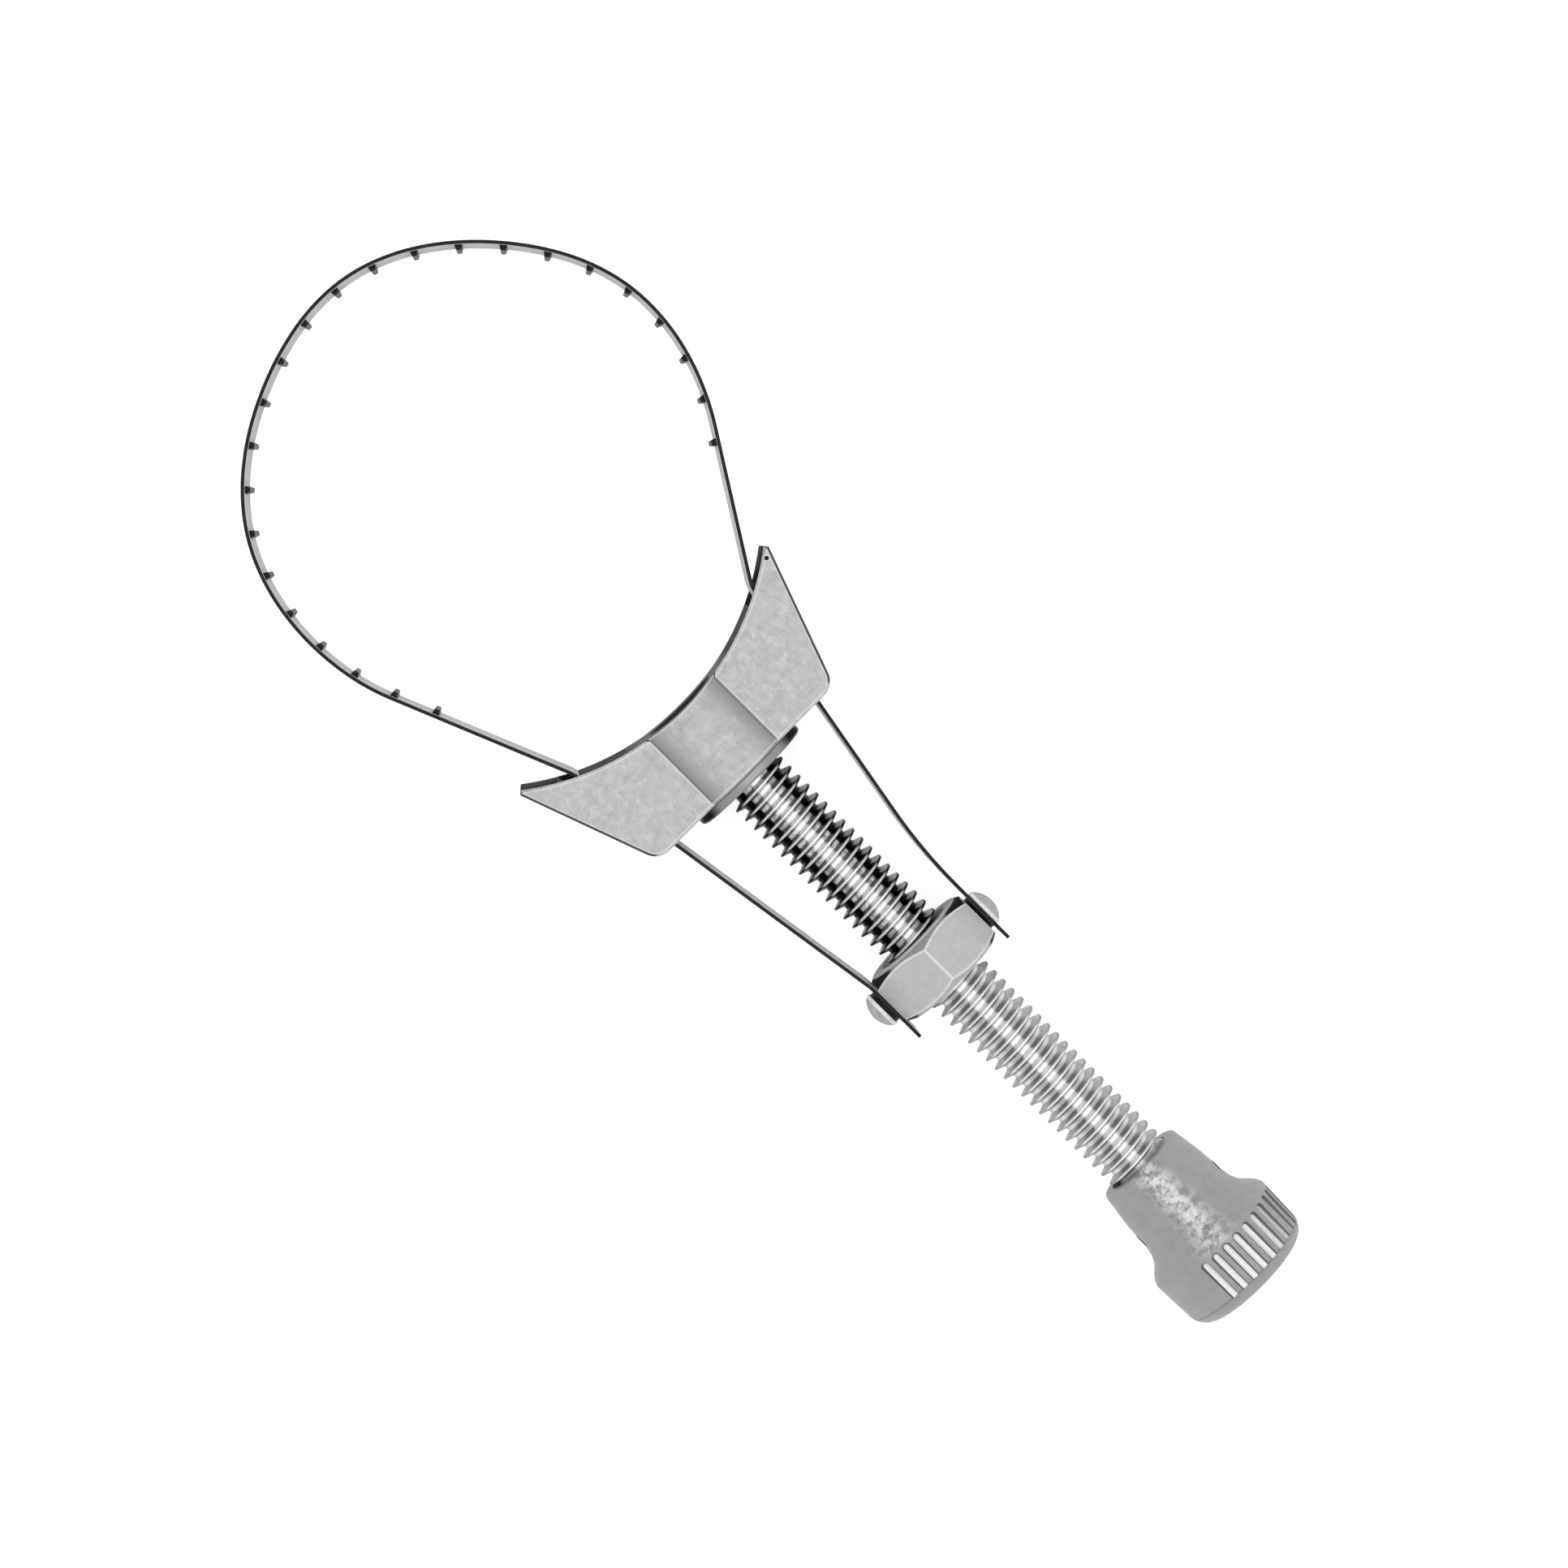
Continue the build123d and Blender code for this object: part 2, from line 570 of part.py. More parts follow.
def tail(side, band_x, past_nut, bend_above_screw, bend_radius):
    """The toothless end of the band, from its slot in the saddle to the nut."""
    points = [
        (side * band_x, NUT_Y - past_nut),
        (side * band_x, NUT_Y + bend_above_screw),
        slot_exit(side),
        loop_start(side),
    ]
    radii = [bend_radius, EXIT_BEND_RADIUS]
    if side > 0:  # the line runs clockwise round the tool, so that its right side is the inside
        points.reverse()
        radii.reverse()
    hole = Cylinder(SCREW_RADIUS + BAND_HOLE_GAP, 8 * BAND_THICKNESS)
    hole = Pos(side * band_x, NUT_Y, 0) * Rot(Y=90) * hole
    return strip(Wire(route(points, radii))) - hole


def band_left_tail():
    return tail(-1, LEFT_BAND_X, LEFT_TAIL_PAST_NUT, LEFT_BEND_ABOVE_SCREW, LEFT_BEND_RADIUS)


def band_right_tail():
    return tail(1, RIGHT_BAND_X, RIGHT_TAIL_PAST_NUT, RIGHT_BEND_ABOVE_SCREW, RIGHT_BEND_RADIUS)


def band_left_flank():
    return loop_stretch(-3, -2)


def band_left_shoulder():
    return loop_stretch(-2, -1)


def band_left_crown():
    return loop_stretch(-1, 0)


def band_right_crown():
    return loop_stretch(0, 1)


def band_right_shoulder():
    return loop_stretch(1, 2)


def band_right_flank():
    return loop_stretch(2, 3)


SUB_PARTS = [
    saddle,
    thrust_washer,
    retaining_washer,
    retaining_clip,
    screw_rod,
    knob,
    knob_pin,
    travelling_nut,
    band_screw_left,
    band_screw_right,
    lock_washer_left,
    spacer_washer_right,
    band_left_tail,
    band_left_flank,
    band_left_shoulder,
    band_left_crown,
    band_right_crown,
    band_right_shoulder,
    band_right_flank,
    band_right_tail,
]

os.makedirs("parts", exist_ok=True)
for sub_part in SUB_PARTS:
    export_step(sub_part(), f"parts/{sub_part.__name__}.step")
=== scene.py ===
"""An adjustable steel-band filter wrench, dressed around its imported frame.

Everything is in metres, in the row frame: +Y along the screw towards the band's loop,
+X across the saddle, +Z up from the floor that the tool lies on.
"""

import json
import math

import bmesh
import bpy
from mathutils import Matrix, Vector


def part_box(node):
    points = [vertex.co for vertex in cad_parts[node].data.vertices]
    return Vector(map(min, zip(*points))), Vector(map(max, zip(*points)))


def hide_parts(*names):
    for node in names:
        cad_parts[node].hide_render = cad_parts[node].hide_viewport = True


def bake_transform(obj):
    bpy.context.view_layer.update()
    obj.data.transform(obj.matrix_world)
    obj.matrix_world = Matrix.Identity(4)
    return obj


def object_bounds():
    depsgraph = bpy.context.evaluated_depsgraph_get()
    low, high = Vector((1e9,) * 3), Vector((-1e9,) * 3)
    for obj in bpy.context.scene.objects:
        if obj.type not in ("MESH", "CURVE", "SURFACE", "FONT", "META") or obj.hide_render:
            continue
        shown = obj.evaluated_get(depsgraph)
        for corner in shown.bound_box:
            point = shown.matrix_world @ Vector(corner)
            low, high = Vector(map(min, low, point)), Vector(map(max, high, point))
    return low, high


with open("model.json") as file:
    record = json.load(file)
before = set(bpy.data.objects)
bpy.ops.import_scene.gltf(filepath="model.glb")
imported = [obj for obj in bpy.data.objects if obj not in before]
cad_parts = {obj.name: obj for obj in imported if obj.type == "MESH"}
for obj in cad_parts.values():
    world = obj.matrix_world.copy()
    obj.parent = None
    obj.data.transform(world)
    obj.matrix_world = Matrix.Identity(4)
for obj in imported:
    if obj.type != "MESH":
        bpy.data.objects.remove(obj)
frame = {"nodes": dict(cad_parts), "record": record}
cad_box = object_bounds()
nodes = frame["nodes"]

MM = 0.001

# ---- Places on the solids, for the paint ----

saddle_low, saddle_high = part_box("saddle")
nut_low, nut_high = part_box("travelling_nut")
screw_left_low, screw_left_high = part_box("band_screw_left")
screw_right_low, screw_right_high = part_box("band_screw_right")

# These are the solids' own sizes, which the frame's boxes don't show.
SADDLE_FLAT = 12.0 * MM  # from the screw's axis to the saddle's flat sides
COUNTERBORE_RADIUS = 8.25 * MM
THREAD_ROOT_RADIUS = 5.2 * MM
THREAD_CREST_RADIUS = 7.0 * MM
NUT_FACE_RADIUS = 11.1 * MM
KNOB_FOOT_Y = 3.9 * MM  # the knob's rim widens evenly from its foot to its top
KNOB_FOOT_RADIUS = 14.5 * MM
KNOB_RIM_Y = 12.5 * MM
KNOB_RIM_RADIUS = 14.8 * MM
FLUTE_RADIUS = 0.95 * MM
FLUTES_LOW_Y = 2.0 * MM
FLUTES_HIGH_Y = 12.1 * MM

boss_side = math.sqrt(saddle_high.z**2 - SADDLE_FLAT**2)  # where the round boss meets the flats
flute_floor = KNOB_RIM_RADIUS - FLUTE_RADIUS

# ---- Materials ----


def grey(value, blue=0.0):
    """An opaque grey, with this much more blue than red."""
    return (value, value + blue / 2, value + blue, 1.0)


def cool(value):
    """A grey with a touch of blue."""
    return grey(value, 0.01)


WEAR_AND_HIGHLIGHT = grey(0.97)  # bare metal rubbed by use, and painted highlight
BLACK = grey(0.004)  # black, for painted shade on the rod's sides and the nut's corners, and for the strip's edges


class Nodes:
    """A node tree being made. What its calls give back can be the next call's value."""

    def __init__(self, tree):
        self.tree = tree
        self.tree.nodes.clear()

    def give(self, socket, value):
        """Links a socket to an output, or sets it to a plain value."""
        if isinstance(value, bpy.types.NodeSocket):
            self.tree.links.new(value, socket)
        else:
            socket.default_value = value

    def node(self, kind, *values, **settings):
        """Adds a node, and gives these values to its sockets, from the first one on."""
        made = self.tree.nodes.new(kind)
        for key, value in settings.items():
            setattr(made, key, value)
        for socket, value in zip(made.inputs, values):
            self.give(socket, value)
        return made

    def number(self, operation, *values):
        """Works out a number from sockets and plain numbers."""
        return self.node("ShaderNodeMath", *values, operation=operation).outputs[0]

    def vector(self, operation, *values):
        """The same for vectors. Their dot product and their length are numbers."""
        made = self.node("ShaderNodeVectorMath", *values, operation=operation)
        return made.outputs["Value" if operation in ("DOT_PRODUCT", "LENGTH") else "Vector"]

    def apart(self, value):
        """A vector's three numbers."""
        return self.node("ShaderNodeSeparateXYZ", value).outputs


class Look(Nodes):
    """A material being painted, in layers, by place on its object."""

    def __init__(self, name):
        self.name = name
        self.material = bpy.data.materials.new(name)
        self.material.use_nodes = True
        super().__init__(self.material.node_tree)
        self.shader = self.node("ShaderNodeBsdfPrincipled")
        self.node("ShaderNodeOutputMaterial", self.shader.outputs["BSDF"])
        coordinates = self.node("ShaderNodeTexCoord").outputs
        self.place = coordinates["Object"]
        self.across, self.along, self.up = self.apart(self.place)
        self.normal_x, self.normal_y, self.normal_z = self.apart(coordinates["Normal"])
        # The radius is measured from the screw's axis. On a round part, to_side is 0 along
        # the top and the bottom, and 1 along the two sides.
        self.radius = self.vector("LENGTH", self.vector("MULTIPLY", self.place, (1, 0, 1)))
        to_top = self.number("DIVIDE", self.absolute(self.up), self.radius)
        self.to_side = self.without(to_top)
        self.shade = None  # what is painted so far

    # -- Shares, which run from 0 to 1 --

    def absolute(self, value):
        return self.number("ABSOLUTE", value)

    def without(self, share):
        """1 where the share is 0, and 0 where it is 1."""
        return self.number("SUBTRACT", 1.0, share)

    def together(self, first, *others):
        """The product of several shares: 1 only where all of them are."""
        for other in others:
            first = self.number("MULTIPLY", first, other)
        return first

    def ramp(self, value, low, high, start=0.0, end=1.0):
        """Start below low, end above high, and a smooth step between them."""
        values = value, low, high, start, end
        made = self.node("ShaderNodeMapRange", *values, interpolation_type="SMOOTHSTEP")
        return made.outputs[0]

    def fall(self, value, low, high, start=1.0):
        """Start below low, and 0 above high."""
        return self.ramp(value, low, high, start, 0.0)

    def soft(self, noise, start=0.0, end=1.0):
        """Runs softly from start to end as the noise does."""
        return self.ramp(noise, 0.3, 0.7, start, end)

    def noise(self, size, detail=2.0, roughness=0.55, stretch=(1, 1, 1)):
        """Noise from 0 to 1 with features of this size, in metres."""
        made = self.node("ShaderNodeTexNoise", self.vector("MULTIPLY", self.place, stretch))
        self.give(made.inputs["Scale"], 1 / size)
        self.give(made.inputs["Detail"], detail)
        self.give(made.inputs["Roughness"], roughness)
        return made.outputs["Fac"]

    def edges(self, rounded, high=0.12):
        """1 along sharp edges, where rounding turns the normal, and 0 on plain faces."""
        true_normal = self.node("ShaderNodeNewGeometry").outputs["Normal"]
        turned = self.without(self.vector("DOT_PRODUCT", rounded, true_normal))
        return self.ramp(turned, 0.01, high)

    # -- Colours --

    def blend(self, share, first, second):
        """The first colour where the share is 0, and the second where it is 1."""
        made = self.node("ShaderNodeMix", share, data_type="RGBA")
        # The colour sockets share their names with others, so they are found by number.
        self.give(made.inputs[6], first)
        self.give(made.inputs[7], second)
        return made.outputs[2]

    def vary(self, noise, dark, pale):
        """Runs softly between two colours as the noise does."""
        return self.blend(self.soft(noise), dark, pale)

    def top_to_side(self, low, high, top, side):
        """One colour along the top and the bottom of a round part, and another at its sides."""
        return self.blend(self.ramp(self.to_side, low, high), top, side)

    def cover(self, share, colour):
        """Lays a colour over what is painted so far."""
        self.shade = self.blend(share, self.shade, colour)

    # -- Surface --

    def bump(self, height, depth, normal=None):
        """Depth is in metres for a height that runs from 0 to 1."""
        made = self.node("ShaderNodeBump")
        self.give(made.inputs["Distance"], depth)
        self.give(made.inputs["Height"], height)
        if normal:
            self.give(made.inputs["Normal"], normal)
        return made.outputs["Normal"]

    def rounding(self, radius):
        """The normal that the surface would have with its edges rounded."""
        return self.node("ShaderNodeBevel", radius, samples=6).outputs["Normal"]

    def surface(self, **values):
        """Sets the shader's colour to what was painted, and its other sockets by name."""
        self.give(self.shader.inputs["Base Color"], self.shade)
        for key, value in values.items():
            self.give(self.shader.inputs[key.replace("_", " ")], value)
        return self


def mottle(look, tone, contrast, patch_size, grain):
    """Paints a grey that varies in soft patches, with a fine grain of light and dark specks."""
    patches = look.noise(patch_size, detail=4.0, roughness=0.6)
    look.shade = look.vary(patches, cool(tone * (1 - contrast)), cool(tone * (1 + contrast)))
    look.cover(look.ramp(grain, 0.60, 0.78, end=0.6), grey(tone * 1.35))
    look.cover(look.fall(grain, 0.22, 0.40, start=0.5), grey(tone * 0.65))


def casting():
    """The saddle: a grained casting, with edges painted bright as wear and highlight, and painted
    shade on its boss, hollow and bore.
    """
    look = Look("casting")
    rounded = look.rounding(0.5 * MM)
    grain = look.noise(0.9 * MM, detail=3.0, roughness=0.7)
    mottle(look, tone=0.545, contrast=0.07, patch_size=1.8 * MM, grain=grain)
    strokes = look.noise(1.5 * MM, detail=5.0, roughness=0.75, stretch=(1, 0.6, 1))
    look.cover(look.ramp(strokes, 0.54, 0.62, end=0.6), cool(0.70))
    look.cover(look.fall(strokes, 0.37, 0.45, start=0.5), cool(0.40))
    out = look.absolute(look.across)
    above_flat = look.number("SUBTRACT", look.absolute(look.up), SADDLE_FLAT)

    # Painted shade: the boss gets darker towards its sides and at its foot.
    on_boss = look.ramp(above_flat, 0.02 * MM, 0.08 * MM)
    off_boss = look.without(on_boss)
    boss_side_shade = look.ramp(look.to_side, 0.0, 0.18, start=0.05, end=0.95)
    look.cover(look.together(on_boss, boss_side_shade), cool(0.30))
    boss_foot_shade = look.fall(above_flat, 0.3 * MM, 0.5 * MM, start=0.45)
    look.cover(look.together(on_boss, boss_foot_shade), grey(0.12))

    # Edges facing up are painted bright, as rubbed wear and painted highlight, and the flats along
    # the boss get a painted highlight.
    highlight_beside_boss = look.fall(out, boss_side + 0.15 * MM, boss_side + 0.4 * MM, start=0.55)
    edge_wear_and_highlight = look.number("MAXIMUM", look.edges(rounded, 0.04), look.together(highlight_beside_boss, off_boss))
    grained = look.ramp(grain, 0.25, 0.50, start=0.4)
    faces_up = look.ramp(look.normal_z, 0.3, 0.9)
    look.cover(look.together(edge_wear_and_highlight, grained, faces_up), WEAR_AND_HIGHLIGHT)

    # Painted shade: the slanted sides have a dark rim where they meet the flats.
    faces_out = look.ramp(look.absolute(look.normal_x), 0.35, 0.55)
    slanted = look.fall(look.absolute(look.normal_z), 0.85, 0.95)
    at_flat = look.ramp(above_flat, -0.55 * MM, -0.5 * MM)
    look.cover(look.together(faces_out, slanted, at_flat, off_boss), grey(0.09))

    # Painted shade: faces that look up from below the flats, such as the casting mark near a tip,
    # are dark.
    sunk = look.fall(above_flat, -0.15 * MM, -0.05 * MM)
    mark_floor = look.ramp(look.normal_z, 0.85, 0.95)
    look.cover(look.together(sunk, mark_floor), grey(0.03))

    # Painted shade: the hollow is dark, most of all away from its middle, and so is the bore.
    hollow = look.blend(look.ramp(out, 10 * MM, 15 * MM), grey(0.20), grey(0.015))
    look.cover(look.ramp(look.normal_y, 0.72, 0.80), hollow)
    past_bore = COUNTERBORE_RADIUS + 0.05 * MM
    look.cover(look.fall(look.radius, past_bore, past_bore + 0.1 * MM), grey(0.05))
    return look.surface(
        Metallic=0.0,
        Roughness=0.7,
        Specular_IOR_Level=0.1,
        Normal=look.bump(grain, 0.035 * MM, rounded),
    )


def knob_metal():
    """The knob's casting: a painted highlight in chipped patches along its top, and flutes with
    painted shade on their walls and a painted highlight on their floors.
    """
    look = Look("knob_casting")
    rounded = look.rounding(0.3 * MM)
    grain = look.noise(0.6 * MM, detail=3.0, roughness=0.7)
    chips = look.noise(1.7 * MM, detail=4.0, roughness=0.7)
    mottle(look, tone=0.36, contrast=0.06, patch_size=3.2 * MM, grain=grain)

    # Painted highlight: above the rim, the top is painted bright in chipped patches, brightest
    # along its middle line.
    above_rim = look.ramp(look.along, KNOB_RIM_Y - 1.0 * MM, KNOB_RIM_Y + 1.5 * MM)
    flecks = look.ramp(chips, 0.36, 0.62)
    top = look.fall(look.to_side, 0.0, 0.11, start=0.6)
    look.cover(look.together(top, above_rim), look.blend(flecks, grey(0.20), grey(0.68)))
    ridge_highlight = look.fall(look.to_side, 0.0, 0.025, start=0.6)
    look.cover(look.together(ridge_highlight, above_rim, flecks), grey(0.85))

    # Painted shade and highlight: the flutes have walls painted dark, and floors painted bright
    # along the top and grey at the sides.
    lean = (KNOB_RIM_RADIUS - KNOB_FOOT_RADIUS) / (KNOB_RIM_Y - KNOB_FOOT_Y)
    radius_at_end = KNOB_FOOT_RADIUS - lean * KNOB_FOOT_Y
    rim_radius = look.number("MULTIPLY_ADD", look.along, lean, radius_at_end)
    depth = look.number("SUBTRACT", rim_radius, look.radius)
    by_flutes = look.together(
        look.ramp(look.along, FLUTES_LOW_Y + 0.6 * MM, FLUTES_LOW_Y + 1.0 * MM),
        look.fall(look.along, FLUTES_HIGH_Y - 0.3 * MM, FLUTES_HIGH_Y + 0.1 * MM),
    )
    flute_wall_shade = look.ramp(depth, 0.04 * MM, 0.12 * MM, end=0.85)
    look.cover(look.together(by_flutes, flute_wall_shade), grey(0.12))
    flute_floors = look.fall(look.radius, flute_floor + 0.15 * MM, flute_floor + 0.29 * MM)
    bright = look.top_to_side(0.05, 0.5, grey(0.95), grey(0.5))
    look.cover(look.together(by_flutes, flute_floors), bright)
    return look.surface(
        Metallic=0.2,
        Roughness=0.45,
        Specular_IOR_Level=0.3,
        Normal=look.bump(chips, 0.16 * MM, look.bump(grain, 0.05 * MM, rounded)),
    )


def threaded_steel():
    """The rod: a painted highlight along its top, and painted shade at its sides, black between
    saddle and nut.
    """
    look = Look("screw_steel")
    stains = look.noise(1.1 * MM, detail=3.0, stretch=(1, 0.6, 1))
    spots = look.ramp(stains, 0.35, 0.65)
    toward_saddle = look.ramp(look.along, nut_low.y, nut_high.y)

    # Painted highlight and shade: each part of the thread has one tone along the top and another
    # at the sides; between saddle and nut, bright patches along the top and black at the sides.
    patches = look.blend(spots, grey(0.40), grey(0.98))
    plain_root = look.top_to_side(0.12, 0.4, grey(0.62), grey(0.80))
    root_toward_saddle = look.top_to_side(0.17, 0.24, patches, grey(0.002))
    root = look.blend(toward_saddle, plain_root, root_toward_saddle)
    plain_flank = look.top_to_side(0.12, 0.4, grey(0.30), grey(0.75))
    flank_toward_saddle = look.top_to_side(0.13, 0.20, grey(0.20), BLACK)
    flank_toward_saddle = look.top_to_side(0.40, 0.5, flank_toward_saddle, grey(0.65))
    flank = look.blend(toward_saddle, plain_flank, flank_toward_saddle)
    crest_side = look.blend(toward_saddle, grey(0.42), grey(0.02))
    crest = look.top_to_side(0.22, 0.44, grey(0.85), crest_side)

    # From the root out: root, flank, the painted highlight line along the top, and the crest.
    past_root = THREAD_ROOT_RADIUS + 0.05 * MM
    look.shade = look.blend(look.ramp(look.radius, past_root, past_root + 0.15 * MM), root, flank)
    highlight_line = look.fall(look.to_side, 0.012, 0.035)
    spotted = look.ramp(spots, 0.0, 1.0, start=0.8)
    look.cover(look.together(highlight_line, spotted), grey(0.95))
    near_crest = THREAD_CREST_RADIUS - 0.4 * MM
    look.cover(look.ramp(look.radius, near_crest, near_crest + 0.25 * MM), crest)
    look.cover(look.ramp(look.along, saddle_low.y, saddle_low.y + 1 * MM), grey(0.40))
    return look.surface(
        Metallic=0.4,
        Roughness=look.soft(stains, 0.25, 0.40),
        Specular_IOR_Level=0.2,
        Specular_Tint=grey(0.2),
        Normal=look.rounding(0.1 * MM),
    )


def turned_steel(name, tone, edge_tone, metallic, roughness, edge_radius=0.3 * MM, side_shade=None):
    """Plated or turned steel with faint handling marks and paler edges."""
    look = Look(name)
    rounded = look.rounding(edge_radius)
    haze = look.noise(5.0 * MM, detail=3.0)
    marks = look.noise(0.35 * MM)
    look.shade = look.vary(haze, cool(tone * 0.96), cool(tone * 1.04))
    look.cover(look.ramp(marks, 0.66, 0.8, end=0.3), grey(tone * 0.7))
    # Painted shade: the sides of a round part get the side shade.
    if side_shade is not None:
        look.cover(look.ramp(look.to_side, 0.16, 0.44), grey(side_shade))
    look.cover(look.edges(rounded), grey(edge_tone))
    return look.surface(
        Metallic=metallic,
        Roughness=look.soft(haze, roughness - 0.05, roughness + 0.05),
        Specular_IOR_Level=0.2,
        Normal=look.bump(marks, 0.012 * MM, rounded),
    )


def washer_metal():
    """The washers on the screw: grey along the top and the bottom, and painted shade, black, at
    the sides.
    """
    return turned_steel(
        "washer_steel", tone=0.34, edge_tone=0.4, side_shade=0.01, metallic=0.4, roughness=0.4
    )


def dark_metal():
    """Blackened steel, for small parts, and for the band's teeth, where the black stands for their
    shade.
    """
    return turned_steel(
        "dark_steel",
        tone=0.005,
        edge_tone=0.02,
        metallic=0.1,
        roughness=0.5,
        edge_radius=0.15 * MM,
    )


def nut_metal():
    """The nut: even grey flats, edges painted bright as wear and highlight, and painted shade on
    its ends, black at their corners.
    """
    look = Look("nut_steel")
    rounded = look.rounding(0.7 * MM)
    haze = look.noise(1.5 * MM, detail=3.0)
    look.shade = look.vary(haze, cool(0.52), cool(0.56))

    # Painted shade: the upper end is dark near the thread and its chamfer black towards the
    # corners; the lower end is black at its corners.
    out = look.absolute(look.across)
    past_thread = THREAD_CREST_RADIUS + 0.8 * MM
    off_thread = look.ramp(look.radius, past_thread, past_thread + 1.4 * MM)
    face = look.blend(off_thread, grey(0.10), grey(0.75))
    chamfer_shade = look.blend(look.ramp(out, 6.5 * MM, 8.5 * MM), grey(0.35), BLACK)
    past_face = look.ramp(look.radius, NUT_FACE_RADIUS - 0.1 * MM, NUT_FACE_RADIUS + 0.1 * MM)
    upper_end = look.ramp(look.normal_y, 0.4, 0.6)
    look.cover(upper_end, look.blend(past_face, face, chamfer_shade))
    lower_end = look.fall(look.normal_y, -0.6, -0.4)
    look.cover(look.together(lower_end, look.ramp(out, 9.5 * MM, 10.5 * MM)), BLACK)

    # Edges painted bright: rubbed wear and painted highlight.
    hazy = look.ramp(haze, 0.3, 0.45, start=0.55)
    look.cover(look.together(look.edges(rounded, 0.014), hazy), WEAR_AND_HIGHLIGHT)
    return look.surface(Metallic=0.0, Roughness=0.6, Specular_IOR_Level=0.1, Normal=rounded)


def screw_head_metal():
    """Round heads: mottled grey, painted shade on their sides, and a painted highlight beside the
    band.
    """
    look = Look("screw_head_steel")
    rounded = look.rounding(0.2 * MM)
    grain = look.noise(0.7 * MM, detail=3.0, roughness=0.7)
    mottle(look, tone=0.44, contrast=0.12, patch_size=1.5 * MM, grain=grain)
    # Painted shade: the heads are darker where they face sideways.
    look.cover(look.fall(look.absolute(look.normal_z), 0.1, 0.5), grey(0.25))

    # Painted highlight: a bright band a little below each head's tip, beside the band.
    below_right_tip = look.number("SUBTRACT", screw_right_high.x, look.across)
    below_left_tip = look.number("SUBTRACT", look.across, screw_left_low.x)
    below_tip = look.number("MINIMUM", below_right_tip, below_left_tip)
    highlight_beside_band = look.together(
        look.ramp(below_tip, 1.6 * MM, 1.9 * MM),
        look.fall(below_tip, 2.3 * MM, 2.6 * MM),
        look.ramp(grain, 0.3, 0.5),
    )
    look.cover(highlight_beside_band, WEAR_AND_HIGHLIGHT)
    return look.surface(Metallic=0.1, Roughness=0.4, Specular_IOR_Level=0.2, Normal=rounded)


def strip_steel():
    """Spring strip: satin faces, painted paler on the tails, and edges facing up and down painted
    black.
    """
    look = Look("band_steel")
    streaks = look.noise(1.2 * MM, detail=3.0, stretch=(1, 1, 0.12))
    look.shade = look.vary(streaks, cool(0.58), cool(0.68))
    # Painted light: the tails' faces are paler than the loop's.
    tail = look.fall(look.along, saddle_low.y - 1 * MM, saddle_low.y + 8 * MM)
    look.cover(tail, look.vary(streaks, cool(0.74), cool(0.82)))
    # The edges that face up and down are painted black.
    sheared = look.ramp(look.absolute(look.normal_z), 0.5, 0.8)
    look.cover(sheared, look.vary(streaks, BLACK, grey(0.02)))
    return look.surface(
        Metallic=0.1,
        Roughness=look.soft(streaks, 0.45, 0.6),
        Specular_IOR_Level=0.2,
        Normal=look.bump(streaks, 0.01 * MM),
    )


looks = [
    casting(),
    knob_metal(),
    threaded_steel(),
    nut_metal(),
    washer_metal(),
    screw_head_metal(),
    dark_metal(),
    strip_steel(),
]
materials = {look.name: look.material for look in looks}

slot_of = {s["node"]: s["material_slot"] for s in frame["record"]["subparts"]}
for node, shape in nodes.items():
    for held in shape.material_slots:
        held.material = materials[slot_of[node]]

# ---- The band, cut into short lengths ----

BEND_STEP = 1.0 * MM  # the strips are cut across this far apart
SHARP_ANGLE = math.radians(35)
FLAT_ANGLE = math.radians(0.2)  # faces that differ by less are one flat face
SAME_POINT = 1e-6  # points closer than this are one
ON_CUT = 1e-7  # points closer than this to a cut lie on it
AT_EDGE = 1e-5  # points no further than this below the strip's highest are at its edge
NOT_ZERO = 1e-12  # stands in for the squared length of an edge that has none
EDGE_SHARE = 0.9  # of the half width: faces further out are the sheared edges
TOOTH_OFFSET = 0.12 * MM  # faces further than this from the strip's outline are a tooth's
SLOT_SHARE = 0.33  # of the saddle's length: the line across which the tails are cut ends this far into their slots


def shared_point(node, other):
    """The middle of the face in which two stretches of the band meet."""
    first, second = (
        {tuple(round(c, 6) for c in v.co) for v in nodes[name].data.vertices}
        for name in (node, other)
    )
    common = [Vector(place) for place in first & second]
    return sum(common, Vector()) / len(common)


def cut_across(mesh, start, end):
    """Cuts a mesh into short lengths by planes across the line from start to end."""
    run = end - start
    along = [(v.co - start).dot(run) / run.length for v in mesh.verts]
    steps = range(math.ceil(min(along) / BEND_STEP), math.floor(max(along) / BEND_STEP) + 1)
    for step in steps:
        geometry = mesh.verts[:] + mesh.edges[:] + mesh.faces[:]
        place = start + run.normalized() * step * BEND_STEP
        bmesh.ops.bisect_plane(mesh, geom=geometry, plane_co=place, plane_no=run, dist=ON_CUT)


def distance(point, first, second):
    """From a point to the line between two others."""
    run = second - first
    share = (point - first).dot(run) / max(run.length_squared, NOT_ZERO)
    return (first + run * min(1.0, max(0.0, share)) - point).length


def mark_teeth(mesh):
    """Gives the second material to faces that stand off the strip, seen along Z."""
    top = max(v.co.z for v in mesh.verts) - AT_EDGE
    outline = [e for e in mesh.edges if all(v.co.z > top for v in e.verts)]
    ends = [(e.verts[0].co.xy, e.verts[1].co.xy) for e in outline]
    for face in mesh.faces:
        face.smooth = True
        middle = face.calc_center_median()
        if abs(middle.z) > EDGE_SHARE * top:
            continue
        off_strip = min(distance(middle.xy, *pair) for pair in ends)
        face.material_index = int(off_strip > TOOTH_OFFSET)


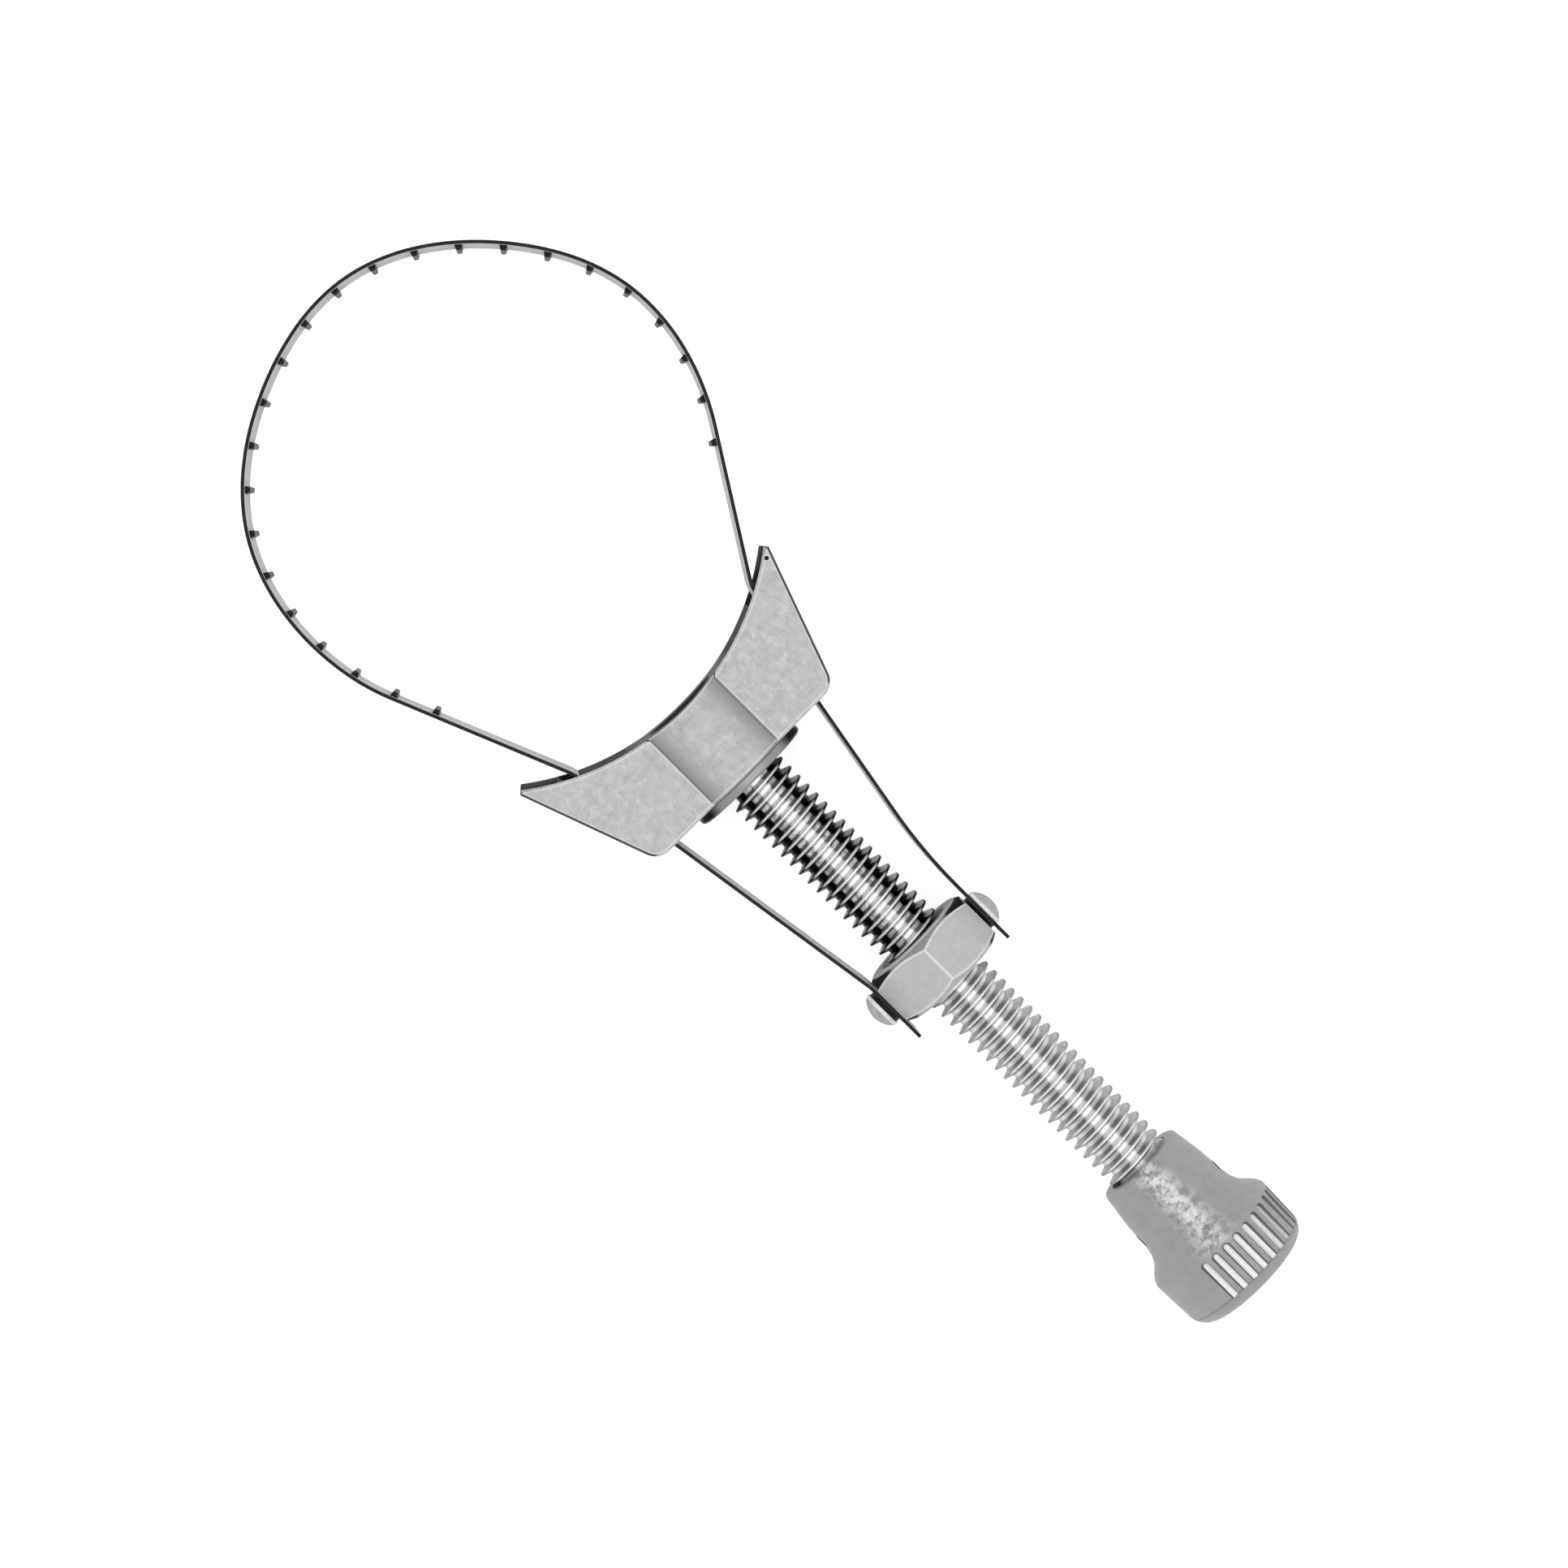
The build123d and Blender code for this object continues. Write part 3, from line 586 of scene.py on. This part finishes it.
def band_piece(node, start, end):
    """A copy of one stretch of the band, cut across into short lengths, which stands in for the
    hidden stretch.
    """
    mesh = bmesh.new()
    mesh.from_mesh(nodes[node].data)
    bmesh.ops.remove_doubles(mesh, verts=mesh.verts[:], dist=SAME_POINT)
    bmesh.ops.dissolve_limit(
        mesh, angle_limit=FLAT_ANGLE, verts=mesh.verts[:], edges=mesh.edges[:]
    )
    cut_across(mesh, start, end)
    mark_teeth(mesh)
    data = bpy.data.meshes.new(node + "_strip")
    mesh.to_mesh(data)
    mesh.free()
    data.materials.append(materials["band_steel"])
    data.materials.append(materials["dark_steel"])
    data.shade_smooth()
    data.set_sharp_from_angle(angle=SHARP_ANGLE)
    piece = bpy.data.objects.new(node + "_strip", data)
    bpy.context.scene.collection.objects.link(piece)
    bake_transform(piece)
    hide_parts(node)


loop_middle = shared_point("band_left_crown", "band_right_crown")
slot_y = saddle_low.y + SLOT_SHARE * (saddle_high.y - saddle_low.y)
for side, screw_end in (("left", screw_left_high), ("right", screw_right_low)):
    chain = [f"band_{side}_{part}" for part in ("tail", "flank", "shoulder", "crown")]
    joints = [shared_point(a, b) for a, b in zip(chain, chain[1:])] + [loop_middle]
    tail_start = Vector((screw_end.x, screw_left_high.y, 0))
    tail_end = Vector((joints[0].x, slot_y, 0))
    band_piece(chain[0], tail_start, tail_end)
    for node, start, end in zip(chain[1:], joints, joints[1:]):
        band_piece(node, start, end)

# ---- Floor, light and camera ----

FLOOR_HALF_WIDTH = 6.0
FLOOR_TONE = 0.55
FLOOR_GLOW = 0.78  # what the camera and reflections see of the floor's own white
ROOM_TONES = [(0.0, 1.0), (0.2, 1.0), (0.5, 0.6), (1.0, 0.7)]  # from the horizon to overhead
CAMERA_AIM = Vector((-1.01, 2.46, 0.0)) * MM  # seen from the middle of the tool's box
CAMERA_PLACE = Vector((0.005, 0.071, 1.0))  # seen from the point that it looks at
CAMERA_TOP = Vector((1, 1, 0))  # this way is up in the picture
SENSOR_WIDTH = 36.0  # in millimetres, as Blender has it
WIDTH_SEEN = 0.3091  # the picture's width, at the tool


def floor():
    """Pale, with the tool's shadow, and white where the camera or a reflection sees it."""
    data = bpy.data.meshes.new("floor")
    corners = [
        (x * FLOOR_HALF_WIDTH, y * FLOOR_HALF_WIDTH, cad_box[0].z)
        for x, y in ((-1, -1), (1, -1), (1, 1), (-1, 1))
    ]
    data.from_pydata(corners, [], [(0, 1, 2, 3)])
    plane = bpy.data.objects.new("floor", data)
    bpy.context.scene.collection.objects.link(plane)
    material = bpy.data.materials.new("floor")
    material.use_nodes = True
    data.materials.append(material)
    paint = Nodes(material.node_tree)
    diffuse = paint.node("ShaderNodeBsdfDiffuse", grey(FLOOR_TONE))
    rays = paint.node("ShaderNodeLightPath").outputs
    seen = rays["Is Camera Ray"]
    for other in ("Is Glossy Ray", "Is Transmission Ray"):
        seen = paint.number("MAXIMUM", seen, rays[other])
    white = paint.node("ShaderNodeEmission")
    paint.give(white.inputs["Strength"], paint.number("MULTIPLY", seen, FLOOR_GLOW))
    both = paint.node("ShaderNodeAddShader", diffuse.outputs[0], white.outputs[0])
    paint.node("ShaderNodeOutputMaterial", both.outputs[0])


def studio():
    """The room: white around the horizon, and a pale grey higher up."""
    world = bpy.data.worlds.new("studio")
    bpy.context.scene.world = world
    world.use_nodes = True
    paint = Nodes(world.node_tree)
    direction = paint.node("ShaderNodeTexCoord").outputs["Generated"]
    ramp = paint.node("ShaderNodeValToRGB", paint.apart(direction)[2])
    stops = ramp.color_ramp.elements
    for stop, (height, tone) in zip(stops, (ROOM_TONES[0], ROOM_TONES[-1])):
        stop.position = height
        stop.color = grey(tone)
    for height, tone in ROOM_TONES[1:-1]:
        stops.new(height).color = grey(tone)
    light = paint.node("ShaderNodeBackground", ramp.outputs[0])
    paint.node("ShaderNodeOutputWorld", light.outputs[0])


def soft_box(name, place, aim, width, height, radiance):
    """A flat rectangular lamp that looks at a point, of the same brightness at any size."""
    data = bpy.data.lights.new(name, "AREA")
    data.shape = "RECTANGLE"
    data.size = width
    data.size_y = height
    data.energy = radiance * math.pi * width * height
    lamp = bpy.data.objects.new(name, data)
    lamp.location = place
    lamp.rotation_euler = (aim - place).to_track_quat("-Z", "Y").to_euler()
    bpy.context.scene.collection.objects.link(lamp)


def camera():
    """A metre above the tool and a little towards its loop, turned by an eighth of a turn."""
    low, high = cad_box
    target = (low + high) / 2 + CAMERA_AIM
    place = target + CAMERA_PLACE
    data = bpy.data.cameras.new("camera")
    data.sensor_width = SENSOR_WIDTH
    data.lens = data.sensor_width * (place - target).length / WIDTH_SEEN
    data.clip_start = 0.05
    data.clip_end = 20.0
    shape = bpy.data.objects.new("camera", data)
    bpy.context.scene.collection.objects.link(shape)
    forward = (target - place).normalized()
    right = forward.cross(CAMERA_TOP).normalized()
    up = right.cross(forward)
    turn = Matrix((right, up, -forward)).transposed()
    shape.matrix_world = Matrix.Translation(place) @ turn.to_4x4()
    bpy.context.scene.camera = shape


floor()
studio()
soft_box(
    "ceiling",
    place=Vector((0.10, 0.14, 1.5)),
    aim=Vector((0.0, 0.14, 0.0)),
    width=0.9,
    height=1.4,
    radiance=1.8,
)
camera()
bpy.context.scene.view_settings.view_transform = "Standard"
